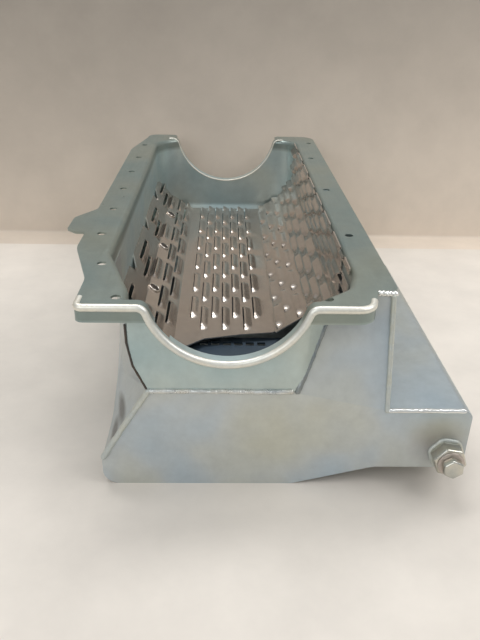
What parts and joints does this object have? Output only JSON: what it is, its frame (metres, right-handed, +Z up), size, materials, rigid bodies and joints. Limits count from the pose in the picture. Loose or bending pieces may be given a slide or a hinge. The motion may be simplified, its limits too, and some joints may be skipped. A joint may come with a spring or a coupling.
{
  "type": "engine oil pan",
  "caption": "Fabricated steel oil pan with a flat gasket rail, half-round ends, a side kick-out sump, a louvred windage tray and a drain plug.",
  "frame": {"origin": "centre of the bounding box on the plane the sump stands on", "axes": "+X towards the kick-out, +Y along the crankshaft line from the drain end to the far end, +Z up through the gasket rail"},
  "size_m": [0.32, 0.571, 0.1535],
  "materials": {
    "zinc_plate": "zinc plated, satin",
    "weld_metal": "bright weld bead",
    "tray_steel": "satin",
    "fastener_steel": "zinc plated",
    "washer_metal": "satin"
  },
  "bodies": {
    "pan": {"upper_pan": "zinc_plate", "sump_front_plate": "zinc_plate", "sump_left_panel": "zinc_plate", "sump_bottom": "zinc_plate", "kickout_cover": "zinc_plate", "sump_right_wall": "zinc_plate", "sump_back_plate": "zinc_plate", "windage_tray": "tray_steel", "tray_screws": "fastener_steel", "tray_standoffs": "tray_steel", "sump_baffle": "tray_steel", "drain_bung": "fastener_steel", "weld_nose_seam": "weld_metal", "weld_left_shelf": "weld_metal", "weld_right_groove": "weld_metal", "weld_flap_corner": "weld_metal", "weld_kickout_top": "weld_metal", "weld_rail_edge": "weld_metal", "weld_back_floor": "weld_metal", "weld_back_seam": "weld_metal", "weld_kickout_back": "weld_metal", "weld_kickout_side": "weld_metal", "weld_left_side": "weld_metal", "weld_bung": "weld_metal"},
    "washer": {"drain_washer": "washer_metal"},
    "plug": {"drain_plug": "fastener_steel"}
  },
  "joints": [
    {"name": "plug_travel", "type": "slide", "parent": "pan", "child": "washer", "axis": [0, -1, 0], "range_m": [0, 0.0141]},
    {"name": "plug_turn", "type": "hinge", "parent": "washer", "child": "plug", "pos_m": [0.1437, -0.2785, 0.03], "axis": [0, -1, 0], "range_deg": [0, 3960]}
  ],
  "couplings": [
    {"joint": "plug_travel", "follows": "plug_turn", "m_per_rad": 0.00020213}
  ]
}
